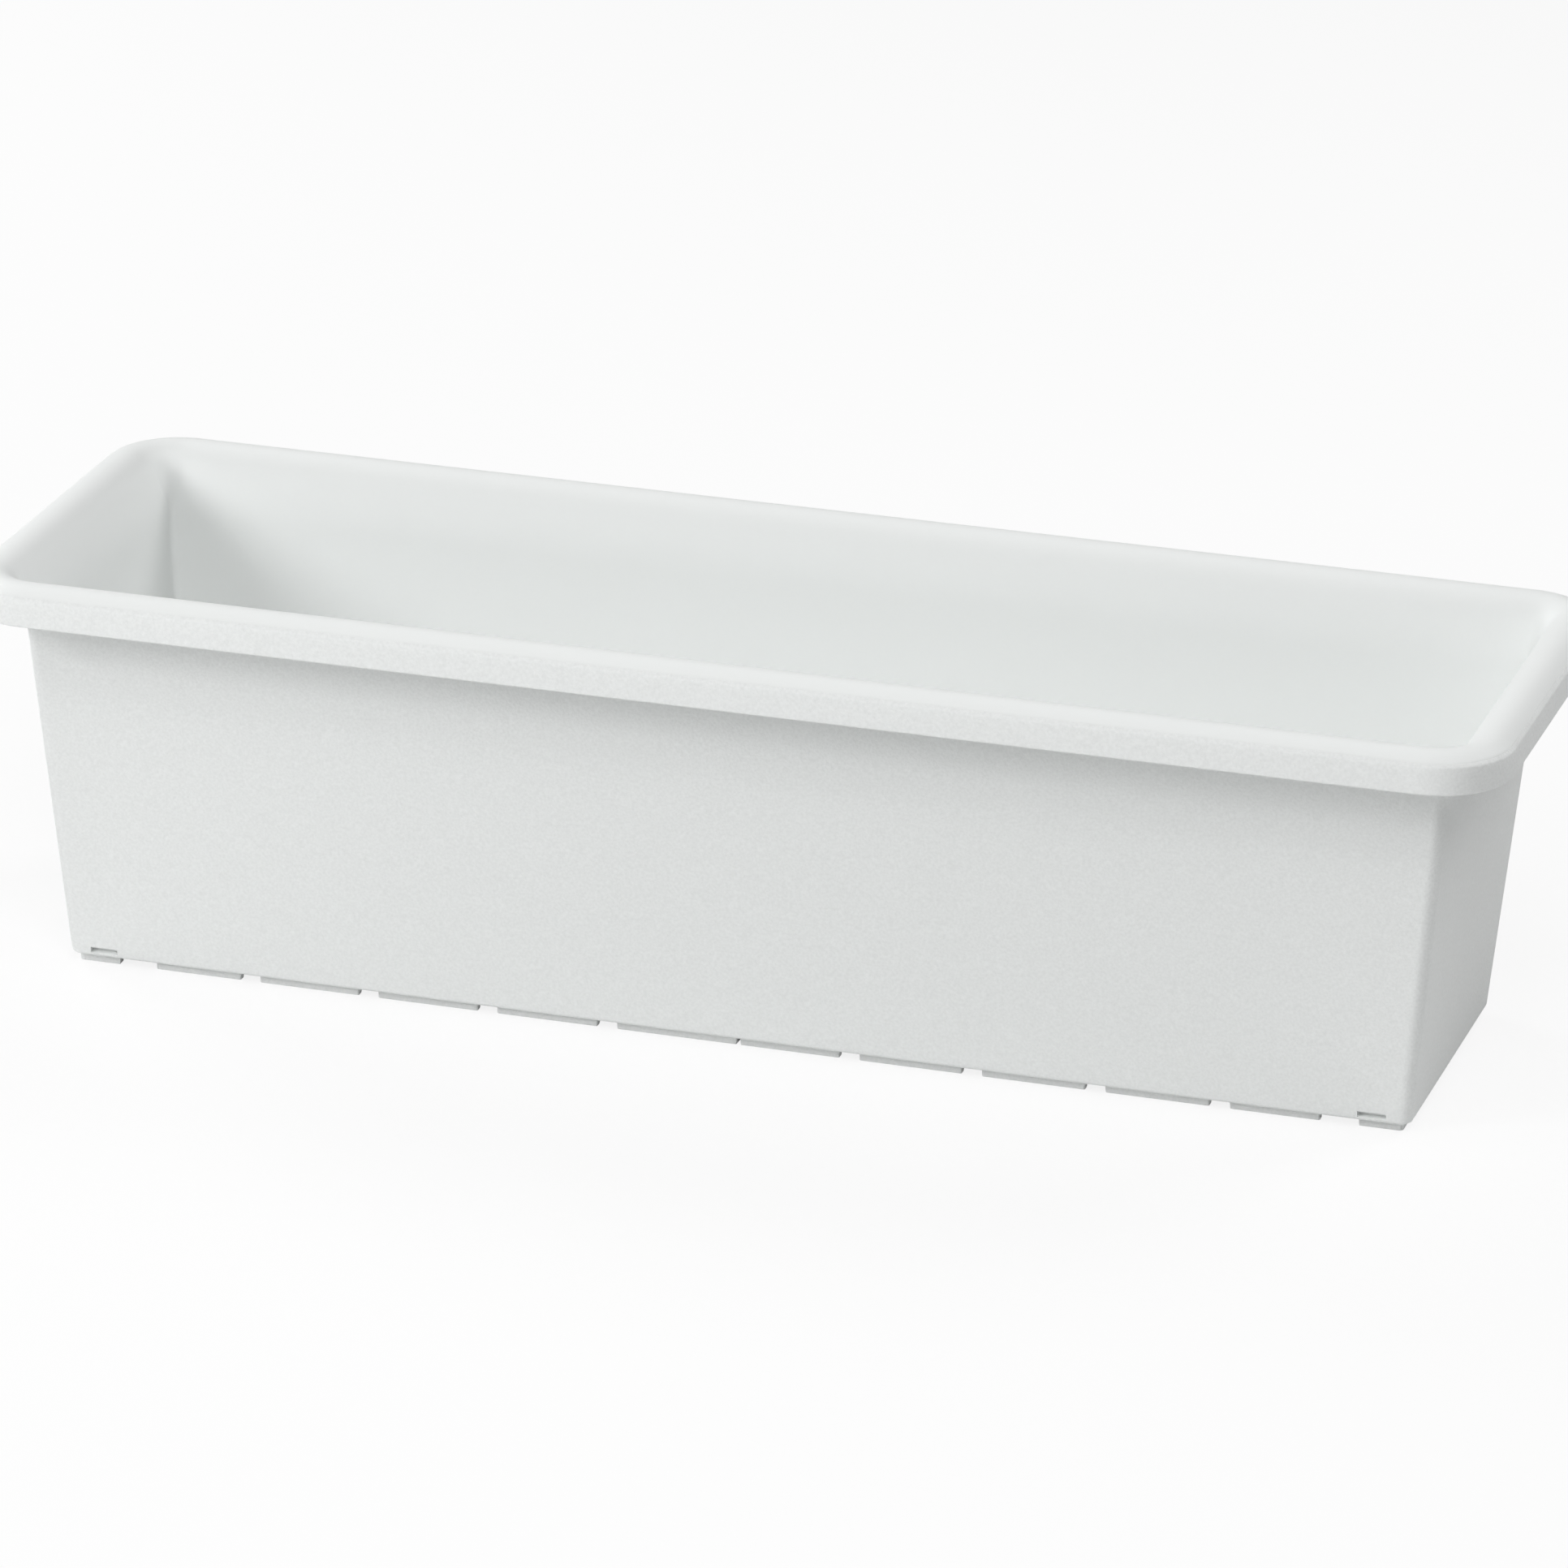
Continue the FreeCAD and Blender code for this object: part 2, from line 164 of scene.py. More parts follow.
def finishShape(target, materials):
    # Smooth shading that keeps the flats flat
    data = target.data
    while len(data.materials) > len(materials):
        data.materials.pop()
    for slot, material in enumerate(materials):
        data.materials[slot] = material
    data.shade_smooth()
    data.set_sharp_from_angle(angle=math.radians(sharpAngle))
    weighted = target.modifiers.new("Flat faces lead", "WEIGHTED_NORMAL")
    weighted.keep_sharp = True


# The planter box

boxValues = {
    "wall": 2.2,
    "floor": 2.5,
    "draft": 5.0,  # degrees
    "corner": 5.0,  # of the walls, seen from above
    "rimCorner": 30.0,
    "cornerBlend": 8.0,  # height over which the walls' corners widen to follow the rim
    "overhang": 22.0,
    "skirt": 10.4,
    "crestRise": 14.8,
    "crestInset": 9.04,
    "crestTurn": 61.0,  # degrees that the crest's round runs on, past the crest
    "crownRadius": 30.0,  # of the skirt's upper part, which bows a little
    "crown": 3.2,  # height of that part
    "ridgeRadius": 1.4,
    "partingInset": 1.45,  # the mould's parting line runs round the rim, outside the crest
    "partingWidth": 0.6,
    "partingDepth": 0.14,
    "lipRadius": 0.8,
    "lipInnerRadius": 0.3,
    "bottomRadius": 1.6,
    "innerRadius": 1.8,
    "footHeight": 3.5,
    "courses": (7.0, 10.0, 14.0, 18.0, 20.0, 22.0, 30.0, 60.0, 100.0, 130.0),
    "innerCourses": 4,  # of the courses, heights of the walls' rings, the inside has the last ones
    "stops": (40, 80, 120, 160, 200),  # places of the long sides' points, from the middle
    "sinkPlace": 234.0,  # faint hollows outside the ledges' cross ribs
    "sinkTop": 21.0,
    "sinkHalfWidth": 3.0,
    "sinkDepth": 0.06,
}
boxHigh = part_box("planter_box")[1] / mm
leanPerMm = math.tan(math.radians(boxValues["draft"]))
wallAcross = boxValues["wall"] / math.cos(math.radians(boxValues["draft"]))
skirtBottom = boxHigh.z - boxValues["crestRise"]
floorTop = boxValues["footHeight"] + boxValues["floor"]
rimCorner = boxValues["rimCorner"]
topCorner = rimCorner - boxValues["overhang"]
rimAxis = Vector((boxHigh.x - rimCorner, boxHigh.y - rimCorner))


def lean(z):
    # How far a wall has moved in, below the skirt's lower edge
    return leanPerMm * (skirtBottom - z)


def tightened(z):
    # How much smaller the walls' corners are there than right under the rim
    share = min(max((skirtBottom - z) / boxValues["cornerBlend"], 0.0), 1.0)
    return (topCorner - boxValues["corner"]) * share


def innerHalf(z):
    half = topCorner - lean(z) - wallAcross
    return Vector((rimAxis.x + half, rimAxis.y + half))


def outerHalf(z):
    return innerHalf(z) + Vector((wallAcross, wallAcross))


def boxSection():
    # From the underside, up the outside, round the rim and down to the inner floor: how
    # far each point is from the upright axis of the rim's corner, and its height
    values = boxValues
    draft = values["draft"]
    edge = values["bottomRadius"]
    wallShare = math.cos(math.radians(draft))
    low = values["footHeight"] + edge
    centre = (topCorner - lean(low) - edge / wallShare, low)
    points = arcPoints(centre, edge, -90, -draft, 5)
    points += [(topCorner - lean(z), z) for z in values["courses"]]

    # The crest is round: it goes through the top and through the ridge over the skirt
    fall = values["crestRise"] - values["skirt"]
    crestRadius = (values["crestInset"] ** 2 + fall**2) / (2 * fall)
    crest = Vector((rimCorner - values["crestInset"], boxHigh.z - crestRadius))

    # The ridge's small round runs smoothly into the skirt's crown and into the crest
    crown = Vector((rimCorner - values["crownRadius"], skirtBottom + values["skirt"] - values["crown"]))
    apart = crown - crest
    toCrest, toCrown = crestRadius - values["ridgeRadius"], values["crownRadius"] - values["ridgeRadius"]
    along = (toCrest**2 - toCrown**2 + apart.length_squared) / (2 * apart.length)
    across = math.sqrt(toCrest**2 - along**2)
    ridge = crest + apart.normalized() * along + Vector((apart.y, -apart.x)).normalized() * across
    crownEnd = math.degrees(math.atan2(*(ridge - crown).yx))
    ridgeEnd = math.degrees(math.atan2(*(ridge - crest).yx))

    # The crest runs on smoothly into the flare, and the flare into the inner wall
    inside = topCorner - wallAcross
    flareStart = 90 + values["crestTurn"]
    wallFacing = Vector((-wallShare, math.sin(math.radians(draft))))
    towards = Vector((math.cos(math.radians(flareStart)), math.sin(math.radians(flareStart))))
    share = towards.dot(wallFacing)
    reach = wallFacing.dot(Vector((inside, skirtBottom)) - crest)
    flareRadius = (reach - crestRadius * share) / (1 - share)
    flare = crest - towards * (flareRadius - crestRadius)
    wall = values["wall"]
    skirtInside = rimCorner - wall
    underEnd = math.degrees(math.acos((skirtInside - crest.x) / (crestRadius - wall)))
    hollow = arcPoints(flare, flareRadius - wall, 180 - draft, flareStart, 10)
    hollow += arcPoints(crest, crestRadius - wall, flareStart, underEnd, 16)[1:]

    points += hollow
    soft = values["lipInnerRadius"]
    points += arcPoints((skirtInside + soft, skirtBottom + soft), soft, 180, 270, 3)
    soft = values["lipRadius"]
    points += arcPoints((rimCorner - soft, skirtBottom + soft), soft, -90, 0, 5)
    points += arcPoints(crown, values["crownRadius"], 0, crownEnd, 5)
    points += arcPoints(ridge, values["ridgeRadius"], crownEnd, ridgeEnd, 4)[1:]

    parting = math.degrees(math.acos((values["crestInset"] - values["partingInset"]) / crestRadius))
    halfWidth = math.degrees(values["partingWidth"] / 2 / crestRadius)
    points += arcPoints(crest, crestRadius, ridgeEnd, parting - halfWidth, 1)[1:]
    points += arcPoints(crest, crestRadius - values["partingDepth"], parting, 90, 1)[:1]
    partingRing = len(points) - 1
    points += arcPoints(crest, crestRadius, parting + halfWidth, 90, 8)
    points += arcPoints(crest, crestRadius, 90, flareStart, 10)[1:]
    points += arcPoints(flare, flareRadius, flareStart, 180 - draft, 10)[1:]
    points += [(inside - lean(z), z) for z in reversed(values["courses"][-values["innerCourses"]:])]
    edge = values["innerRadius"]
    low = floorTop + edge
    points += arcPoints((inside - lean(low) - edge / wallShare, low), edge, -draft, -90, 5)
    return points, partingRing


def buildBox():
    values = boxValues
    place, reach = values["sinkPlace"], values["sinkHalfWidth"]
    stops = [*values["stops"], *(place + reach * share for share in (-1, -0.5, 0, 0.5, 1))]
    stops = [-stop for stop in reversed(stops)] + [0] + stops
    section, partingRing = boxSection()
    rings = []
    for out, z in section:
        half = rimAxis + Vector((out, out))
        radius = max(out + max(lean(z), 0.0) - tightened(z), sharpest)
        rings.append(roundedRing(-half, half, [radius] * 4, z, 14, stops))
    mesh = bmesh.new()
    skin(mesh, rings, secondFrom=partingRing)
    for vertex in mesh.verts:
        x, y, z = vertex.co / mm
        across = (abs(x) - place) / reach
        onOutside = abs(y) > innerHalf(z).y + wallAcross / 2 and z < skirtBottom
        if onOutside and abs(across) < 1 and floorTop < z < values["sinkTop"]:
            depth = values["sinkDepth"] * mm * math.cos(across * math.pi / 2) ** 2
            vertex.co.y -= math.copysign(depth, y)
    return asObject(mesh, "box_shell")


footValues = {
    "inset": 3.0,
    "thickness": 4.0,
    "pitch": 48.0,
    "gap": 7.4,
    "gapsEachWay": 4,
    "lastLength": 35.0,
    "cornerGap": 14.6,
    "slit": 1.0,
    "softEdge": 0.5,
    "planRadius": 0.9,
    "taper": 0.2,
}


def buildFeet(mesh):
    values = footValues
    half = outerHalf(boxValues["footHeight"]) - Vector((values["inset"], values["inset"]))
    top = boxValues["footHeight"] + boxValues["floor"] / 2
    thick = values["thickness"]
    corners = [values["planRadius"]] * 4

    def foot(low, high):
        wide = roundedRing(low, high, corners, top, 3)
        narrow = drawnIn(wide, values["taper"], 0.0)
        block(mesh, narrow, wide, softLow=values["softEdge"])

    spans = []
    halfGap = values["gap"] / 2
    for step in range(1, values["gapsEachWay"]):
        spans.append((step * values["pitch"] + halfGap, (step + 1) * values["pitch"] - halfGap))
    lastStart = values["gapsEachWay"] * values["pitch"] + halfGap
    lastEnd = lastStart + values["lastLength"]
    spans.append((lastStart, lastEnd))
    middleEnd = values["pitch"] - halfGap
    for side in (1, -1):
        rows = sorted((side * half.y, side * (half.y - thick)))
        for start, end in spans:
            foot((start, rows[0]), (end, rows[1]))
            foot((-end, rows[0]), (-start, rows[1]))
        foot((-middleEnd, rows[0]), (halfGap, rows[1]))
        foot((halfGap + values["slit"], rows[0]), (middleEnd, rows[1]))
        columns = sorted((side * half.x, side * (half.x - thick)))
        endFoot = values["pitch"] / 2 - halfGap
        foot((columns[0], -endFoot), (columns[1], endFoot))
    foot((-halfGap, thick / 2 - half.y), (halfGap, half.y - thick / 2))

    # The corner feet turn round the corners
    start = Vector((lastEnd + values["cornerGap"], values["pitch"] / 2 + halfGap))
    radius = boxValues["corner"] - values["inset"]
    within = radius / 2
    for sideX, sideY in quarters:
        outline = arcPoints((half.x - radius, half.y - radius), radius, 0, 90, 6)
        outline += [(start.x, half.y), (start.x, half.y - thick)]
        outline += arcPoints((half.x - thick - within, half.y - thick - within), within, 90, 0, 4)
        outline += [(half.x - thick, start.y), (half.x, start.y)]
        wide = [Vector((sideX * x, sideY * y, top)) for x, y in outline]
        if sideX * sideY < 0:
            wide.reverse()
        block(mesh, drawnIn(wide, values["taper"], 0.0), wide, softLow=values["softEdge"])
    return start.x


supportValues = {
    "height": 14.0,
    "reach": 19.0,
    "rib": 1.8,
    "ribStart": 29.5,
    "postLength": 18.0,
    "postWidth": 12.0,
    "postSpacing": 70.0,
    "drainPlace": 131.0,
    "drainRadius": 7.0,
    "collar": 3.0,
    "collarHeight": 4.5,
    "collarEdge": 0.5,
    "drainEdge": 0.4,
    "postCorner": 1.0,
    "softEdge": 0.3,
    "roundSteps": 64,
}


def buildSupports(mesh, clipStart):
    values = supportValues
    top = floorTop + values["height"]
    low = boxValues["footHeight"] + boxValues["floor"] / 2
    lowHalf = innerHalf(low) + Vector((wallAcross, wallAcross)) / 2
    topHalf = innerHalf(top) + Vector((wallAcross, wallAcross)) / 2
    ribX = innerHalf(floorTop).x + wallAcross - values["ribStart"]
    ribY = innerHalf(floorTop).y - values["reach"]
    rib = values["rib"]
    backingTop = boxValues["footHeight"] + clipValues["rise"] + boxValues["wall"]
    backingY = innerHalf(floorTop).y - clipValues["backing"]
    backingEnd = clipStart + clipValues["length"] + boxValues["wall"]
    backingHalf = innerHalf(backingTop) + Vector((wallAcross, wallAcross)) / 2
    backingStart = clipStart - boxValues["wall"]
    pieces = [
        ((ribX, ribY), (ribX + rib, lowHalf.y), (ribX + rib, topHalf.y), top),
        ((ribX, ribY), (lowHalf.x, ribY + rib), (topHalf.x, ribY + rib), top),
        ((backingStart, backingY), (backingEnd, lowHalf.y), (backingEnd, backingHalf.y), backingTop),
    ]
    for sideX, sideY in quarters:
        for start, lowEnd, topEnd, height in pieces:
            outlines = []
            for end, z in ((lowEnd, low), (topEnd, height)):
                lowX, highX = sorted((sideX * start[0], sideX * end[0]))
                lowY, highY = sorted((sideY * start[1], sideY * end[1]))
                corners = ((lowX, lowY), (highX, lowY), (highX, highY), (lowX, highY))
                outlines.append([Vector((x, y, z)) for x, y in corners])
            block(mesh, outlines[0], outlines[1], softHigh=values["softEdge"])

    for side in (1, -1):
        middleY = side * values["postSpacing"] / 2
        half = Vector((values["postLength"] / 2, values["postWidth"] / 2))
        centre = Vector((0, middleY))
        outline = roundedRing(centre - half, centre + half, [values["postCorner"]] * 4, low, 4)
        block(mesh, outline, drawnIn(outline, 0, top), softHigh=values["softEdge"])
        place = side * values["drainPlace"]
        outline = circleRing(place, values["drainRadius"] + values["collar"], low, values["roundSteps"])
        raised = drawnIn(outline, 0, floorTop + values["collarHeight"])
        block(mesh, outline, raised, softHigh=values["collarEdge"])


clipValues = {
    "length": 11.0,
    "height": 2.6,
    "depth": 2.6,
    "rise": 3.8,
    "slope": 0.9,
    "backing": 2.4,
}


def buildOpenings(mesh, clipStart):
    # What is cut out: the saucer's clip pockets, the drain holes and the posts' hollows
    values = clipValues
    top = boxValues["footHeight"] + values["rise"]
    mouth = top - values["height"]
    face = outerHalf(top).y
    for sideX, sideY in quarters:
        section = (
            (face - values["depth"], top),
            (face + values["depth"], top),
            (face + values["depth"], mouth - values["slope"]),
            (face - values["depth"], mouth + values["slope"]),
        )
        ends = []
        for x in (clipStart, clipStart + values["length"]):
            ends.append([Vector((sideX * x, sideY * y, z)) for y, z in section])
        skin(mesh, ends)

    values = supportValues
    for side in (1, -1):
        place = side * values["drainPlace"]
        top = floorTop + values["collarHeight"]
        bottom = boxValues["footHeight"]
        soft = values["drainEdge"]
        radius = values["drainRadius"]
        levels = ((bottom - past, radius + soft), (bottom, radius + soft), (bottom + soft, radius))
        levels += ((top - soft, radius), (top, radius + soft), (top + past, radius + soft))
        skin(mesh, [circleRing(place, size, z, values["roundSteps"]) for z, size in levels])
        half = Vector((values["postLength"] / 2 - values["rib"], values["postWidth"] / 2 - values["rib"]))
        centre = Vector((0, side * values["postSpacing"] / 2))
        outline = roundedRing(centre - half, centre + half, [sharpest] * 4, floorTop, 3)
        block(mesh, outline, drawnIn(outline, 0, floorTop + values["height"] + past))


planterBox = buildBox()
feet = bmesh.new()
clipStart = buildFeet(feet)
carve(planterBox, feet, "UNION", overlaps=True)
supports = bmesh.new()
buildSupports(supports, clipStart)
carve(planterBox, supports, "UNION", overlaps=True, finish=1)
cutters = bmesh.new()
buildOpenings(cutters, clipStart)
carve(planterBox, cutters, "DIFFERENCE")
print("The planter box is built")


# The two reservoir grids: one moulding, which also serves turned half a turn

gridValues = {
    "seatGap": 0.3,
    "sideGap": 1.2,
    "middleGap": 1.0,
    "thickness": 2.0,
    "lipHeight": 5.0,
    "lip": 1.8,
    "ribDepth": 4.0,
    "rib": 1.8,
    "ribSpacing": 84.0,
    "slotLength": 32.0,
    "slotWidth": 4.0,
    "slotPitch": 17.0,
    "slotRows": 3,
    "slotRowPitch": 40.0,
    "slotMargin": 3.0,
    "slotCorner": 1.2,
    "cupTop": 40.0,
    "cupBottom": 31.0,
    "cupCorner": 5.0,
    "cupWall": 1.8,
    "cupSpacing": 132.0,
    "slitWidth": 6.0,
    "slitHeight": 8.0,
    "slitCorner": 1.0,
    "ribCorner": 0.4,
    "softEdge": 0.35,
}
plateBottom = floorTop + supportValues["height"] + gridValues["seatGap"]
plateTop = plateBottom + gridValues["thickness"]
cupLow = floorTop + gridValues["seatGap"]


def gridReach(z):
    return innerHalf(z) - Vector((gridValues["sideGap"], gridValues["sideGap"]))


def cupPlaces():
    middle = gridReach(plateBottom).x / 2
    return middle - gridValues["cupSpacing"] / 2, middle + gridValues["cupSpacing"] / 2


def buildTray(mesh):
    # A plate with an upturned lip, all its edges soft
    values = gridValues
    soft, lip = values["softEdge"], values["lip"]
    lipTop = plateTop + values["lipHeight"]
    part = soft * softShare
    section = (
        (soft, plateBottom),
        (part, plateBottom + part),
        (0, plateBottom + soft),
        (0, lipTop - soft),
        (part, lipTop - part),
        (soft, lipTop),
        (lip - soft, lipTop),
        (lip - part, lipTop - part),
        (lip, lipTop - soft),
        (lip, plateTop + 2 * soft),
        (lip + 2 * part, plateTop + 2 * part),
        (lip + 2 * soft, plateTop),
    )
    outer = boxValues["corner"] - wallAcross - values["sideGap"]
    rings = []
    for inset, z in section:
        reach = gridReach(z)
        low = Vector((values["middleGap"] / 2 + inset, inset - reach.y))
        high = Vector((reach.x - inset, reach.y - inset))
        far = max(outer - inset, sharpest)
        rings.append(roundedRing(low, high, (far, sharpest, sharpest, far), z, 4))
    skin(mesh, rings)


def cupRing(middle, size, radius, z):
    half = size / 2
    low, high = Vector((middle - half, -half)), Vector((middle + half, half))
    return roundedRing(low, high, [radius] * 4, z, 6)


def cupSize(low, z):
    # The cup's width, outside or inside, which grows from its bottom to the plate
    values = gridValues
    share = (z - low) / (plateTop - low)
    return values["cupBottom"] + (values["cupTop"] - values["cupBottom"]) * share


def buildCupsAndRibs(mesh):
    values = gridValues
    soft = 2 * values["softEdge"]
    within = plateBottom + values["thickness"] / 2
    for place in cupPlaces():
        lower = cupRing(place, values["cupBottom"], values["cupCorner"], cupLow)
        upper = cupRing(place, cupSize(cupLow, within), values["cupCorner"], within)
        block(mesh, lower, upper, softLow=soft)
    start = supportValues["postLength"] / 2 + values["rib"]
    end = innerHalf(floorTop).x + wallAcross - supportValues["ribStart"] - values["rib"]
    for side in (1, -1):
        middle = side * values["ribSpacing"] / 2
        low = Vector((start, middle - values["rib"] / 2))
        high = Vector((end, middle + values["rib"] / 2))
        lower = roundedRing(low, high, [values["ribCorner"]] * 4, plateBottom - values["ribDepth"], 3)
        block(mesh, lower, drawnIn(lower, 0, within), softLow=values["softEdge"])


def buildGridOpenings(mesh):
    # The cups' insides, the slits low in their sides and the slots across the plate
    values = gridValues
    soft = values["softEdge"]
    part = soft * softShare
    wall = values["cupWall"]
    low = cupLow + wall
    cupLevels = ((soft, low), (part, low + part), (0, low + soft), (0, plateTop - soft))
    cupLevels += ((-part, plateTop - part), (-soft, plateTop), (-soft, plateTop + past))
    for place in cupPlaces():
        inside = []
        for drawn, z in cupLevels:
            size = cupSize(low, min(z, plateTop)) - 2 * (wall + drawn)
            inside.append(cupRing(place, size, values["cupCorner"] - wall - drawn, z))
        skin(mesh, inside)
        half = values["slitWidth"] / 2
        corners = [values["slitCorner"]] * 4
        mouth = roundedRing(Vector((-half, 0)), Vector((half, values["slitHeight"])), corners, 0, 4)
        far = values["cupTop"] / 2
        lengthways = [[Vector((place + reach, point.x, low + point.y)) for point in mouth]
                      for reach in (-far, far)]
        crossways = [[Vector((place + point.x, reach, low + point.y)) for point in mouth]
                     for reach in (far, -far)]
        skin(mesh, lengthways)
        skin(mesh, crossways)

    lowX = values["middleGap"] / 2 + values["lip"] + values["slotMargin"]
    highX = gridReach(plateBottom).x - values["lip"] - values["slotMargin"]
    count = int((highX - lowX - values["slotWidth"]) // values["slotPitch"]) + 1
    first = (lowX + highX) / 2 - (count - 1) * values["slotPitch"] / 2
    clear = values["cupTop"] / 2 + values["slotMargin"]
    half = Vector((values["slotWidth"] / 2, values["slotLength"] / 2))
    corners = [values["slotCorner"]] * 4
    middleRow = (values["slotRows"] - 1) / 2
    for column in range(count):
        for row in range(values["slotRows"]):
            across = (row - middleRow) * values["slotRowPitch"]
            centre = Vector((first + column * values["slotPitch"], across))
            besideCup = any(abs(centre.x - place) < clear + half.x for place in cupPlaces())
            if besideCup and abs(centre.y) < clear + half.y:
                continue
            slot = roundedRing(centre - half, centre + half, corners, plateBottom - past, 3)
            rings = []
            for drawn, z in ((-soft, -past), (-soft, 0), (-part, part), (0, soft)):
                rings.append(drawnIn(slot, drawn, plateBottom + z))
            for drawn, z in ((0, -soft), (-part, -part), (-soft, 0), (-soft, past)):
                rings.append(drawnIn(slot, drawn, plateTop + z))
            skin(mesh, rings)


def buildGrid():
    tray = bmesh.new()
    buildTray(tray)
    grid = asObject(tray, "grid_right_moulding")
    added = bmesh.new()
    buildCupsAndRibs(added)
    carve(grid, added, "UNION")
    cutters = bmesh.new()
    buildGridOpenings(cutters)
    carve(grid, cutters, "DIFFERENCE", overlaps=True)
    return grid


gridRight = buildGrid()
gridLeft = gridRight.copy()
gridLeft.data = gridRight.data.copy()
gridLeft.name = "grid_left_moulding"
gridLeft.data.transform(Matrix.Rotation(math.pi, 4, "Z"))
bpy.context.scene.collection.objects.link(gridLeft)
print("The reservoir grids are built")


# The drain plugs, pushed in from below: each a head, a hollow shank and a bar to pull by

plugValues = {
    "headRadius": 12.5,
    "headThickness": 2.2,
    "proud": 1.0,
    "runningGap": 0.05,
    "leadIn": 0.5,
    "wall": 1.6,
    "bar": 2.4,
    "barEdge": 0.3,
    "barCorner": 0.45,
    "barInset": 0.1,  # the bar's underside lies a touch inside the head's
    "shankEdge": 0.15,
    "softEdge": 0.45,
    "steps": 72,
}


def buildPlug(place, name):
    values = plugValues
    soft, thick = values["softEdge"], values["wall"]
    headTop = boxValues["footHeight"] - gridValues["seatGap"]
    headLow = headTop - values["headThickness"]
    shankTop = floorTop + supportValues["collarHeight"] + values["proud"]
    shank = supportValues["drainRadius"] - values["runningGap"]
    head = values["headRadius"]
    hollow = shank - thick
    section = [(hollow - soft, shankTop - thick)]
    section += arcPoints((hollow - soft, shankTop - thick - soft), soft, 90, 0, 4)[1:]
    section += arcPoints((hollow + soft, headLow + soft), soft, 180, 270, 4)
    section += arcPoints((head - soft, headLow + soft), soft, -90, 0, 5)
    section += arcPoints((head - soft, headTop - soft), soft, 0, 90, 5)
    leadIn, root = values["leadIn"], values["shankEdge"]
    part = leadIn * softShare
    section += [(shank + root, headTop), (shank, headTop + root), (shank, shankTop - leadIn)]
    section += [(shank - part, shankTop - part), (shank - leadIn, shankTop)]
    mesh = bmesh.new()
    skin(mesh, [circleRing(place, radius, z, values["steps"]) for radius, z in section])
    plug = asObject(mesh, name)
    bar = bmesh.new()
    half = Vector((hollow + 2 * soft, values["bar"] / 2))
    centre = Vector((place, 0))
    edge = values["barEdge"]
    corners = [values["barCorner"]] * 4
    lower = roundedRing(centre - half, centre + half, corners, headLow + values["barInset"], 3)
    block(bar, lower, drawnIn(lower, 0, headTop), softLow=edge, softHigh=edge)
    carve(plug, bar, "UNION")
    return plug


plugRight = buildPlug(supportValues["drainPlace"], "plug_right_moulding")
plugLeft = buildPlug(-supportValues["drainPlace"], "plug_left_moulding")
print("The drain plugs are built")


# Materials

def linearColour(hexCode):
    channels = [int(hexCode[place:place + 2], 16) / 255 for place in (0, 2, 4)]
    linear = [value / 12.92 if value <= 0.04045 else ((value + 0.055) / 1.055) ** 2.4 for value in channels]
    return (*linear, 1.0)


def addNode(tree, kind, settings, links=()):
    # Settings are the node's own properties or its sockets; links are (socket, source)
    node = tree.nodes.new(kind)
    for name, value in settings.items():
        if hasattr(node, name):
            setattr(node, name, value)
        else:
            node.inputs[name].default_value = value
    for socket, source in links:
        tree.links.new(source, node.inputs[socket])
    return node


def emptyMaterial(name):
    material = bpy.data.materials.new(name)
    material.use_nodes = True
    material.node_tree.nodes.clear()
    return material, material.node_tree


shellValues = {
    "leather": {
        # high is the colour of the grain's high places, low the painted shade of its pits
        "high": "f7f9f8",
        "low": "e5e7e6",
        "roughness": 0.6,
        "grain": 1.1,  # mm, coarser and deeper than the real grain so that it shows
        "grainDepth": 0.2,  # mm
    },
    "eroded": {
        # As for the leather, low is the painted shade of the pits
        "high": "f2f4f3",
        "low": "f0f2f1",
        "roughness": 0.55,
        "grain": 0.8,  # mm; spark erosion leaves about 0.1, drawn coarser so that it shows
        "grainDepth": 0.003,  # mm
    },
    "gloss": 0.35,  # how much the surface mirrors, for both
}


def shellPolypropylene(name, finish):
    # The grain's pits are painted a shade darker than its high places: painted shade, for the light that
    # the pits hold back
    material, tree = emptyMaterial(name)
    place = addNode(tree, "ShaderNodeTexCoord", {})
    grain = addNode(tree, "ShaderNodeTexNoise", {"Scale": 1 / (finish["grain"] * mm), "Detail": 2.0},
                    [("Vector", place.outputs["Object"])])
    bump = addNode(tree, "ShaderNodeBump", {"Strength": 1.0, "Distance": finish["grainDepth"] * mm},
                   [("Height", grain.outputs["Fac"])])
    # Painted shade: the grain's noise darkens the base colour towards its pits
    shade = addNode(tree, "ShaderNodeMixRGB",
                    {"Color1": linearColour(finish["low"]), "Color2": linearColour(finish["high"])},
                    [("Fac", grain.outputs["Fac"])])
    plastic = addNode(tree, "ShaderNodeBsdfPrincipled",
                      {"Roughness": finish["roughness"], "IOR": 1.49,
                       "Specular IOR Level": shellValues["gloss"]},
                      [("Base Color", shade.outputs["Color"]), ("Normal", bump.outputs["Normal"])])
    addNode(tree, "ShaderNodeOutputMaterial", {}, [("Surface", plastic.outputs["BSDF"])])
    return material


gridPlasticValues = {
    "colour": "dfe1e0",
    "roughness": 0.42,
    "waves": 14.0,  # mm
    "waveDepth": 0.03,  # mm
}


